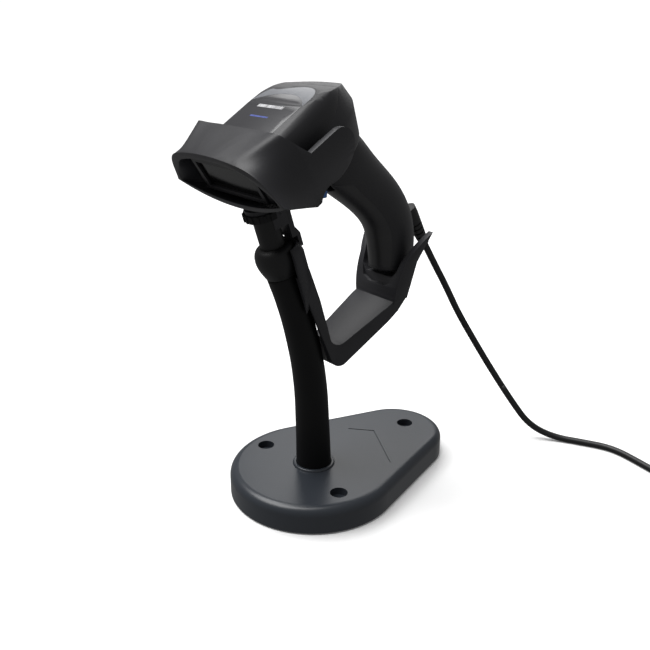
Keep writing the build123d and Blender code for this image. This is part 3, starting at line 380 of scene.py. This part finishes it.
def make_materials():
    """Every finish on the object, each named for what it is."""
    m = {}
    # Satin ABS, moulded in a lightly polished tool: a cool slate grey with soft, stretched reflections.
    m["slate_abs"] = moulded("satin_abs_slate", "#292d33", "#2d3137", 0.27, 0.36, 0.8, 0.006, 40, 0.45)
    # Black ABS of the bottom cover: plain and dull, because nobody sees it.
    m["cover_abs"] = moulded("matte_abs_black_cover", "#161618", "#1c1c1e", 0.55, 0.7, 1.0, 0.03)
    # Cold-rolled steel plate: dull grey with rolling lines.
    m["rolled_steel"] = plated("cold_rolled_steel", "#6e7073", "#8c8e91", 0.35, 0.55, 9.0)
    # Black nitrile rubber: very dark, no sheen.
    m["nitrile"] = moulded("nitrile_rubber_black", "#0d0d0e", "#141415", 0.7, 0.85, 0.7, 0.02, 12, 0.3)
    # Smooth PVC sleeve over the neck: near black with one long soft highlight.
    m["neck_pvc"] = moulded("smooth_pvc_sleeve_black", "#060607", "#0a0a0b", 0.46, 0.58, 1.2, 0.008, 30, 0.2)
    # Glass-filled nylon of the ferrule and stem: black, slightly silky.
    m["nylon"] = moulded("glass_filled_nylon_black", "#0b0b0c", "#101012", 0.42, 0.56, 0.7, 0.02, 18, 0.35)
    # Zinc-plated steel of the neck's fittings: grey with a faint yellow cast.
    m["zinc_steel"] = plated("zinc_plated_steel", "#8b8b85", "#a9a9a2", 0.25, 0.42, 4.0)
    # Charcoal ABS of the holder: fine matte grain that lights up on faces turned to the sky.
    m["holder_abs"] = moulded(
        "fine_grain_abs_charcoal", "#222225", "#28282c", 0.42, 0.56, 0.8, 0.018, 30, 0.4
    )
    # Soft elastomer pads and grips: black and dull.
    m["elastomer"] = moulded("elastomer_pad_black", "#111112", "#19191a", 0.65, 0.8, 0.6, 0.03, 10, 0.3)
    # ABS and polycarbonate blend of the scanner's housings: charcoal, matte with fine grain.
    m["housing_abs"] = moulded(
        "grained_pc_abs_charcoal", "#1d1d20", "#232326", 0.4, 0.55, 0.7, 0.018, 28, 0.42
    )
    # Smoother grip panel on the handle's front, worn a little glossy by fingers.
    m["grip_abs"] = moulded("worn_smooth_pc_abs_grip", "#1b1b1d", "#232325", 0.3, 0.44, 1.4, 0.01, 16, 0.5)
    # Polished panel under the printed mark: a touch lighter and glossier than the housing.
    m["panel_abs"] = moulded("polished_pc_abs_panel", "#232327", "#28282c", 0.3, 0.38, 0.9, 0.005, 30, 0.5)
    # Frosted polycarbonate crescent that lights up after a good read: milky grey.
    m["frosted_pc"] = moulded(
        "frosted_polycarbonate_grey", "#606267", "#6a6c71", 0.34, 0.44, 0.6, 0.01, 14, 0.5
    )
    # Dark acrylic window: almost black, mirror smooth.
    m["window_acrylic"] = clear("tinted_acrylic_window", "#020203", 0.12, 1.3, 0.2, 0.06)
    # Blue ABS trigger: saturated, with a finger-polished gloss.
    m["trigger_abs"] = moulded(
        "satin_abs_blue_trigger", "#2f5f9e", "#3a70b4", 0.25, 0.36, 1.0, 0.008, 9, 0.5
    )
    # Black-zinc screws: dark metal with lighter rims.
    m["black_zinc"] = plated("black_zinc_steel", "#2c2c2f", "#45454a", 0.3, 0.45, 2.0)
    # Epoxy-glass board under green solder mask: glossy green with weave showing faintly.
    m["solder_mask"] = moulded("solder_mask_green", "#0c4a26", "#12603a", 0.2, 0.34, 0.5, 0.015, 6, 0.5)
    # Dark anodised die casting of the camera module: satin grey-black metal.
    m["anodised"] = plated("anodised_aluminium_dark", "#3a3b3e", "#4a4b4f", 0.35, 0.5, 3.0)
    # Clear epoxy of the lamp lenses: water-clear with faint dust.
    m["clear_epoxy"] = clear("clear_epoxy_lens", "#f2f1e8", 0.05, 1.53, 0.9, 0.06)
    # Coated glass of the camera lens: deep blue-violet bloom on black.
    m["coated_glass"] = clear("coated_optical_glass", "#1a2140", 0.02, 1.6, 0.6, 0.02)
    # Spring steel wire: bright and clean.
    m["spring_steel"] = plated("spring_steel_wire", "#9a9a9c", "#b8b8ba", 0.2, 0.32, 1.5)
    # PVC jacket of the cord: black, satin, faintly uneven from the extruder.
    m["cord_pvc"] = moulded("extruded_pvc_jacket_black", "#101011", "#171718", 0.36, 0.5, 1.1, 0.01, 8, 0.4)
    # Nickel-plated plug shell: bright, with fine wear.
    m["nickel"] = plated("nickel_plated_shell", "#b4b1a8", "#cdcac2", 0.16, 0.3, 2.5)
    # Polyimide flex with copper under it: amber and glossy.
    m["polyimide"] = moulded("polyimide_copper_flex", "#8a5414", "#a86a1e", 0.2, 0.35, 0.5, 0.01, 3, 0.5)
    # Epoxy moulding compound of the chips: black with a sandy surface.
    m["chip_epoxy"] = moulded("chip_moulding_epoxy", "#1b1b1d", "#232326", 0.5, 0.65, 0.3, 0.02, 4, 0.4)
    # Pad-printed ink: flat and opaque, white and blue.
    m["white_ink"] = moulded("pad_printed_ink_white", "#c9c9cc", "#dededf", 0.5, 0.6, 0.4, 0.003, 3, 0.4)
    m["blue_ink"] = moulded("pad_printed_ink_blue", "#4a5aa8", "#5868b8", 0.5, 0.6, 0.4, 0.003, 3, 0.4)
    return m


CAD_FINISHES = {
    "slate_abs": ["base_shell", "base_ring"],
    "cover_abs": ["bottom_cover", "cord_socket"],
    "rolled_steel": ["ballast_plate"],
    "nitrile": ["rubber_feet", "window_gasket", "coil_tie"],
    "neck_pvc": ["neck_sleeve"],
    "nylon": ["neck_ferrule", "neck_stem"],
    "zinc_steel": ["neck_foot", "neck_washer", "neck_nut", "gooseneck_core", "trigger_pin"],
    "holder_abs": ["holder_cup", "holder_arm"],
    "elastomer": ["socket_grip", "cup_pads"],
    "housing_abs": ["top_cover", "lower_housing", "handle_cap", "nose_bezel"],
    "grip_abs": ["handle_strip"],
    "panel_abs": ["label_panel"],
    "frosted_pc": ["indicator_lens"],
    "window_acrylic": ["scan_window"],
    "trigger_abs": ["trigger"],
    "black_zinc": ["cover_screws", "swivel_screws", "tab_screws", "housing_screws"],
    "solder_mask": ["illumination_board", "main_board", "trigger_board"],
    "anodised": ["imager_module"],
    "clear_epoxy": ["led_lenses", "indicator_led"],
    "coated_glass": ["imager_lens"],
    "spring_steel": ["trigger_spring"],
    "cord_pvc": ["strain_relief", "cord_upper", "cord_middle", "cord_lower", "cord_coil", "cord_plug"],
    "nickel": ["plug_contact"],
    "polyimide": ["flex_cable"],
    "chip_epoxy": ["decoder_chip", "beeper", "trigger_switch"],
}
# CAD nodes whose edges are broken by this many millimetres, because the light catches them.
BROKEN_EDGES = {
    "stand": {"base_ring": 0.3},
    "holder": {"holder_cup": 0.8, "holder_arm": 0.9},
    "scanner": {"top_cover": 0.3, "lower_housing": 0.3, "handle_strip": 0.25, "label_panel": 0.12},
}
# Edges that turn by more than this many degrees are broken; flatter ones are shaded smooth.
EDGE_ANGLE = 38.0
EDGE_ANGLES = {"top_cover": 52.0, "lower_housing": 52.0, "holder_cup": 42.0}
FINISHES = {}


def dress(body):
    """Gives every CAD node of a body its finish."""
    for finish, names in CAD_FINISHES.items():
        for name in names:
            if NODES[name]["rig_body"] == body:
                NODES[name].data.materials.clear()
                NODES[name].data.materials.append(FINISHES[finish])


def finish_of(node):
    """The finish a CAD node has."""
    return next(FINISHES[key] for key, names in CAD_FINISHES.items() if node in names)


def break_edges(body):
    """Replaces the body's large mouldings with copies whose edges are rounded."""
    for node, width in BROKEN_EDGES[body].items():
        rounded_copy(node, node + "_moulding", width, finish_of(node), EDGE_ANGLES.get(node, EDGE_ANGLE))


# ================================================================ Geometry Nodes
def new_tree(name, sizes):
    """An empty Geometry Nodes tree with named number inputs."""
    tree = bpy.data.node_groups.new(name, "GeometryNodeTree")
    tree.interface.new_socket("Geometry", in_out="INPUT", socket_type="NodeSocketGeometry")
    for label, kind in sizes:
        tree.interface.new_socket(label, in_out="INPUT", socket_type=kind)
    tree.interface.new_socket("Geometry", in_out="OUTPUT", socket_type="NodeSocketGeometry")
    return tree, add_node(tree, "NodeGroupInput").outputs


def end_tree(tree, geometry, material):
    """Realize Instances and Set Material, then the output."""
    real = add_node(tree, "GeometryNodeRealizeInstances", {"Geometry": geometry})
    dressed = add_node(tree, "GeometryNodeSetMaterial", {"Geometry": real.outputs[0], "Material": material})
    add_node(tree, "NodeGroupOutput", {"Geometry": dressed.outputs[0]})


def grown(name, start, tree, values):
    """Runs a tree on a starting mesh and returns the result as a plain piece."""
    obj = bpy.data.objects.new(name, start)
    bpy.context.scene.collection.objects.link(obj)
    modifier = obj.modifiers.new("rule", "NODES")
    modifier.node_group = tree
    for item in tree.interface.items_tree:
        if item.in_out == "INPUT" and item.name in values:
            modifier[item.identifier] = values[item.name]
    return baked(obj)


def line_mesh(name, points):
    """A chain of vertices joined by edges."""
    mesh = bpy.data.meshes.new(name)
    mesh.from_pydata([tuple(p) for p in points], [(i, i + 1) for i in range(len(points) - 1)], [])
    return mesh


def ring_chain_tree(material):
    """Rings strung along a line, as a bendable metal conduit shows them."""
    tree, given = new_tree(
        "ring_chain",
        [("Rings", "NodeSocketInt"), ("Ring Radius", "NodeSocketFloat"), ("Wire Radius", "NodeSocketFloat")],
    )
    curve = add_node(tree, "GeometryNodeMeshToCurve", {"Mesh": given["Geometry"]})
    spacing = {"Curve": curve.outputs[0], "Count": given["Rings"]}
    points = add_node(tree, "GeometryNodeCurveToPoints", spacing)
    ring_size = {"Resolution": 28, "Radius": given["Ring Radius"]}
    loop = add_node(tree, "GeometryNodeCurvePrimitiveCircle", ring_size)
    wire_size = {"Resolution": 8, "Radius": given["Wire Radius"]}
    wire = add_node(tree, "GeometryNodeCurvePrimitiveCircle", wire_size)
    ring = add_node(
        tree,
        "GeometryNodeCurveToMesh",
        {"Curve": loop.outputs["Curve"], "Profile Curve": wire.outputs["Curve"]},
    )
    strung = add_node(
        tree,
        "GeometryNodeInstanceOnPoints",
        {
            "Points": points.outputs["Points"],
            "Instance": ring.outputs[0],
            "Rotation": points.outputs["Rotation"],
        },
    )
    end_tree(tree, strung.outputs[0], material)
    return tree


def bar_row_tree(material):
    """A row of upright bars of uneven width, as a printed bar mark has."""
    tree, given = new_tree(
        "bar_row",
        [
            ("Bars", "NodeSocketInt"),
            ("Pitch", "NodeSocketFloat"),
            ("Bar Height", "NodeSocketFloat"),
            ("Narrowest", "NodeSocketFloat"),
            ("Widest", "NodeSocketFloat"),
            ("Ink", "NodeSocketFloat"),
            ("Seed", "NodeSocketInt"),
        ],
    )
    step = add_node(tree, "ShaderNodeCombineXYZ", {"X": given["Pitch"]})
    row = add_node(tree, "GeometryNodeMeshLine", {"Count": given["Bars"], "Offset": step.outputs[0]})
    bar = add_node(tree, "GeometryNodeMeshCube", {"Size": (1.0, 1.0, 1.0), "Vertices Y": 3})
    width = add_node(
        tree,
        "FunctionNodeRandomValue",
        {"Min": given["Narrowest"], "Max": given["Widest"], "Seed": given["Seed"]},
    )
    size = add_node(
        tree,
        "ShaderNodeCombineXYZ",
        {"X": width.outputs["Value"], "Y": given["Bar Height"], "Z": given["Ink"]},
    )
    placed = add_node(
        tree,
        "GeometryNodeInstanceOnPoints",
        {"Points": row.outputs["Mesh"], "Instance": bar.outputs["Mesh"], "Scale": size.outputs[0]},
    )
    end_tree(tree, placed.outputs[0], material)
    return tree


def settle(obj, node, place, sink):
    """Drops a flat piece made in the head's frame onto a CAD node's top face."""
    work = bmesh.new()
    work.from_mesh(NODES[node].data)
    skin = BVHTree.FromBMesh(work)
    work.free()
    down = place.to_3x3() @ Vector((0, 0, -1))
    for vertex in obj.data.vertices:
        above = place @ Vector((vertex.co.x, vertex.co.y, DROP_HEIGHT * MM))
        hit = skin.ray_cast(above, down)[0]
        if hit is None:
            raise RuntimeError(f"{obj.name} reaches past {node}")
        vertex.co = hit - down * (vertex.co.z + sink)
    return obj


# ================================================================ settings a user would change
class NeckSettings(bpy.types.PropertyGroup):
    foot_radius: bpy.props.FloatProperty(
        name="Foot Radius",
        description="Radius of the sleeve where it meets the base",
        default=0.0120,
        unit="LENGTH",
    )
    top_radius: bpy.props.FloatProperty(
        name="Top Radius",
        description="Radius of the sleeve inside the ferrule",
        default=0.0094,
        unit="LENGTH",
    )
    ring_count: bpy.props.IntProperty(
        name="Conduit Rings", description="Rings of the metal conduit inside the sleeve", default=62, min=2
    )
    ring_radius: bpy.props.FloatProperty(
        name="Ring Radius", description="Radius of the conduit's rings", default=0.0046, unit="LENGTH"
    )


class MarkSettings(bpy.types.PropertyGroup):
    bars: bpy.props.IntProperty(name="Bars", description="Bars in the printed mark", default=17, min=1)
    pitch: bpy.props.FloatProperty(
        name="Bar Pitch", description="Distance from one bar to the next", default=0.0014, unit="LENGTH"
    )
    height: bpy.props.FloatProperty(
        name="Bar Height", description="Height of the printed bars", default=0.0026, unit="LENGTH"
    )


class CordSettings(bpy.types.PropertyGroup):
    radius: bpy.props.FloatProperty(
        name="Cord Radius",
        description="Radius of the cord's jacket",
        default=CORD_RADIUS * MM,
        unit="LENGTH",
    )
    sides: bpy.props.IntProperty(name="Cord Sides", description="Faces round the cord", default=18, min=8)


class StudioSettings(bpy.types.PropertyGroup):
    floor_colour: bpy.props.FloatVectorProperty(
        name="Floor Colour",
        description="Colour of the floor and backdrop",
        size=4,
        subtype="COLOR",
        default=linear(FLOOR_PAINT),
        min=0.0,
        max=1.0,
    )
    sky_strength: bpy.props.FloatProperty(
        name="Sky Strength", description="Brightness of the even light all round", default=0.26, min=0.0
    )
    key_strength: bpy.props.FloatProperty(
        name="Key Strength", description="Brightness of the large soft light overhead", default=4.1, min=0.0
    )


# ================================================================ operators
class ScannerStand(bpy.types.Operator):
    """Finishes the stand's base, its fittings and the neck's head"""

    bl_idname = "scanner.stand"
    bl_label = "Stand"

    def execute(self, context):
        dress("stand")
        dress("neck_head")
        break_edges("stand")
        return {"FINISHED"}


class ScannerNeck(bpy.types.Operator):
    """Builds the bendable neck: smooth sleeve and ringed metal conduit"""

    bl_idname = "scanner.neck"
    bl_label = "Neck"

    def execute(self, context):
        sizes = context.scene.scanner_neck
        line = smooth_line(metres([(0, y, z) for y, z in NECK_LINE]), NECK_STEPS)
        taper = (sizes.top_radius - sizes.foot_radius) / (len(line) - 1)
        radii = [sizes.foot_radius + taper * i for i in range(len(line))]
        sleeve = tube("neck_sleeve_skin", line, radii, FINISHES["neck_pvc"], NECK_SIDES)
        conduit = grown(
            "gooseneck_conduit",
            line_mesh("conduit_line", line[CONDUIT_SPAN]),
            ring_chain_tree(FINISHES["zinc_steel"]),
            {"Rings": sizes.ring_count, "Ring Radius": sizes.ring_radius, "Wire Radius": CONDUIT_WIRE * MM},
        )
        for face in conduit.data.polygons:
            face.use_smooth = True
        for piece, node in ((sleeve, "neck_sleeve"), (conduit, "gooseneck_core")):
            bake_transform(piece)
            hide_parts(node)
        return {"FINISHED"}


class ScannerHolder(bpy.types.Operator):
    """Finishes the hooded cup and the cranked arm"""

    bl_idname = "scanner.holder"
    bl_label = "Holder"

    def execute(self, context):
        dress("holder")
        break_edges("holder")
        return {"FINISHED"}


class ScannerHousing(bpy.types.Operator):
    """Finishes the scanner's housings, optics, boards and trigger"""

    bl_idname = "scanner.housing"
    bl_label = "Scanner"

    def execute(self, context):
        dress("scanner")
        dress("trigger")
        break_edges("scanner")
        return {"FINISHED"}


class ScannerMark(bpy.types.Operator):
    """Prints a plain bar mark on the panel in place of lettering"""

    bl_idname = "scanner.mark"
    bl_label = "Printed Mark"

    def execute(self, context):
        sizes = context.scene.scanner_mark
        line_height = LINE_HEIGHT_SHARE * sizes.height
        # Name, ink, bars, bar height, place up the head, seed, narrowest and widest bar.
        rows = [
            ("printed_bars", "white_ink", sizes.bars, sizes.height, BARS_ALONG, 3, 0.0005, 0.0011),
            ("printed_line", "blue_ink", LINE_BARS, line_height, LINE_ALONG, 5, 0.0006, 0.0012),
        ]
        for name, ink, count, height, along, seed, narrow, wide in rows:
            piece = grown(
                name,
                bpy.data.meshes.new(name),
                bar_row_tree(FINISHES[ink]),
                {
                    "Bars": count,
                    "Pitch": sizes.pitch,
                    "Bar Height": height,
                    "Narrowest": narrow,
                    "Widest": wide,
                    "Ink": INK * MM,
                    "Seed": seed,
                },
            )
            offset = Vector((-(count - 1) * sizes.pitch / 2, along * MM, 0))
            for vertex in piece.data.vertices:
                vertex.co += offset
            settle(piece, "label_panel", HEAD_PLACE, INK_SINK * MM)
            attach(piece, "scanner")
        return {"FINISHED"}


def coil_route():
    """The coil's turns as points of the cord's own line, ending at the plug's boot."""
    places = [(COIL_COLUMNS[c], COIL_ROWS[r]) for c, r in COIL_TURNS]
    total = 360.0 * (len(places) - 1) + COIL_EXIT_ANGLE - COIL_ENTRY_ANGLE
    count = round(total / 360.0 * COIL_POINTS_PER_TURN)
    points = []
    for i in range(count + 1):
        swept = total * i / count
        at = swept / 360.0
        turn = min(int(at), len(places) - 1)
        after = min(turn + 1, len(places) - 1)
        share = max(0.0, (at - turn - 1.0 + COIL_CROSSING) / COIL_CROSSING)
        share = share * share * (3 - 2 * share)
        radius = places[turn][0] + (places[after][0] - places[turn][0]) * share
        height = places[turn][1] + (places[after][1] - places[turn][1]) * share
        angle = math.radians(COIL_ENTRY_ANGLE + swept)
        points.append(
            (COIL_CENTRE[0] + radius * math.cos(angle), COIL_CENTRE[1] + radius * math.sin(angle), height)
        )
    return points


def plug_route():
    """The last points: along the tangent into the plug's boot."""
    angle = math.radians(PLUG_ANGLE)
    out = Vector((math.cos(angle), math.sin(angle), 0))
    along = Vector((-math.sin(angle), math.cos(angle), 0))
    start = Vector((*COIL_CENTRE, PLUG_HEIGHT)) + PLUG_REACH * out
    return [tuple(start + k * PLUG_STEP * along) for k in range(3)]


def lay_cord(name, route, nodes, sizes, steps):
    """One stretch of the cord: a round tube along the spline through its route, in place of its CAD nodes.
    """
    line = nurbs_line(metres(route), steps)
    piece = tube(name, line, [sizes.radius] * len(line), FINISHES["cord_pvc"], sizes.sides)
    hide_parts(*nodes)
    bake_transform(piece)


class ScannerCord(bpy.types.Operator):
    """Lays the cord from the strain relief down to the floor, its coil and its plug"""

    bl_idname = "scanner.cord"
    bl_label = "Cord"

    def execute(self, context):
        sizes = context.scene.scanner_cord
        hanging = [
            ("cord_upper_jacket", UPPER_ROUTE, "cord_upper", ("scanner", "holder")),
            ("cord_middle_jacket", MIDDLE_ROUTE, "cord_middle", ("holder", "neck_head")),
        ]
        for name, route, node, bodies in hanging:
            lay_cord(name, route, [node], sizes, HANGING_STEPS)
        lower = LOWER_ROUTE + coil_route() + plug_route()
        lay_cord(
            "cord_lower_jacket",
            lower,
            ["cord_lower", "cord_coil"],
            sizes,
            COILED_STEPS,
        )
        return {"FINISHED"}


class ScannerStudio(bpy.types.Operator):
    """Sets up the floor, the lights and the camera"""

    bl_idname = "scanner.studio"
    bl_label = "Studio"

    def execute(self, context):
        scene = context.scene
        sizes = scene.scanner_studio
        corners = [(x * FLOOR_HALF, y * FLOOR_HALF, 0) for x, y in ((-1, -1), (1, -1), (1, 1), (-1, 1))]
        # Painted studio floor: near white and faintly satin.
        paint, _, shader = new_material("satin_white_floor_paint", FLOOR_PAINT, 0.42)
        shader.inputs["Base Color"].default_value = sizes.floor_colour
        shader.inputs["Emission Color"].default_value = WHITE
        shader.inputs["Emission Strength"].default_value = FLOOR_GLOW
        floor = add_mesh("studio_floor", corners, [(0, 1, 2, 3)], paint, smooth=False)
        # Bounced and mirrored light doesn't see the floor, so it leaves the object's sides dark.
        floor.visible_diffuse = False
        floor.visible_glossy = False

        world = bpy.data.worlds.new("even_white_room")
        world.use_nodes = True
        tree = world.node_tree
        sky = tree.nodes["Background"]
        sky.inputs["Color"].default_value = WHITE
        sky.inputs["Strength"].default_value = sizes.sky_strength
        seen = add_node(tree, "ShaderNodeBackground", {"Color": WHITE, "Strength": SEEN_SKY})
        path = add_node(tree, "ShaderNodeLightPath")
        mix = add_node(
            tree,
            "ShaderNodeMixShader",
            {0: path.outputs["Is Camera Ray"], 1: sky.outputs[0], 2: seen.outputs[0]},
        )
        tree.links.new(mix.outputs[0], tree.nodes["World Output"].inputs["Surface"])
        scene.world = world
        scene.view_settings.view_transform = "Standard"

        key = bpy.data.lights.new("overhead_softbox", "SUN")
        key.energy = sizes.key_strength
        key.angle = math.radians(KEY_SPREAD)
        lamp = bpy.data.objects.new("overhead_softbox", key)
        lamp.rotation_euler = [math.radians(turn) for turn in KEY_TURN]
        scene.collection.objects.link(lamp)

        rim = bpy.data.lights.new("rear_strip", "AREA")
        rim.shape = "RECTANGLE"
        rim.size, rim.size_y = STRIP_SIZE
        rim.energy = STRIP_POWER
        strip = bpy.data.objects.new("rear_strip", rim)
        strip.location = STRIP_PLACE
        strip.rotation_euler = (Vector(STRIP_TARGET) - strip.location).to_track_quat("-Z", "Y").to_euler()
        scene.collection.objects.link(strip)

        lens = bpy.data.cameras.new("studio_camera")
        lens.sensor_width = 36.0
        lens.lens = CAMERA_LENS
        lens.clip_start = 0.01
        camera = bpy.data.objects.new("studio_camera", lens)
        camera.location = CAMERA_PLACE
        camera.rotation_euler = (math.radians(90 - CAMERA_DOWN), 0, math.radians(CAMERA_TURN))
        scene.collection.objects.link(camera)
        scene.camera = camera
        return {"FINISHED"}


class ScannerPanel(bpy.types.Panel):
    """Lists the pieces of the scanner in the sidebar"""

    bl_idname = "VIEW3D_PT_scanner"
    bl_label = "Scanner"
    bl_space_type = "VIEW_3D"
    bl_region_type = "UI"
    bl_category = "Scanner"

    def draw(self, context):
        scene = context.scene
        layout = self.layout
        for group in (scene.scanner_neck, scene.scanner_mark, scene.scanner_cord, scene.scanner_studio):
            for key in group.bl_rna.properties.keys():
                if key not in ("rna_type", "name"):
                    layout.prop(group, key)
        for operator in OPERATORS:
            layout.operator(operator.bl_idname)


SETTINGS = {
    "scanner_neck": NeckSettings,
    "scanner_mark": MarkSettings,
    "scanner_cord": CordSettings,
    "scanner_studio": StudioSettings,
}
OPERATORS = (
    ScannerStand,
    ScannerNeck,
    ScannerHolder,
    ScannerHousing,
    ScannerMark,
    ScannerCord,
    ScannerStudio,
)


def register():
    for kind in (*SETTINGS.values(), *OPERATORS, ScannerPanel):
        bpy.utils.register_class(kind)
    for name, kind in SETTINGS.items():
        setattr(bpy.types.Scene, name, bpy.props.PointerProperty(type=kind))


def unregister():
    for name in SETTINGS:
        delattr(bpy.types.Scene, name)
    for kind in reversed((*SETTINGS.values(), *OPERATORS, ScannerPanel)):
        bpy.utils.unregister_class(kind)


def main():
    register()
    FINISHES.update(make_materials())
    bpy.ops.scanner.studio()
    bpy.ops.scanner.stand()
    bpy.ops.scanner.neck()
    bpy.ops.scanner.cord()
    bpy.ops.scanner.holder()
    bpy.ops.scanner.housing()
    bpy.ops.scanner.mark()


if __name__ == "__main__":
    main()
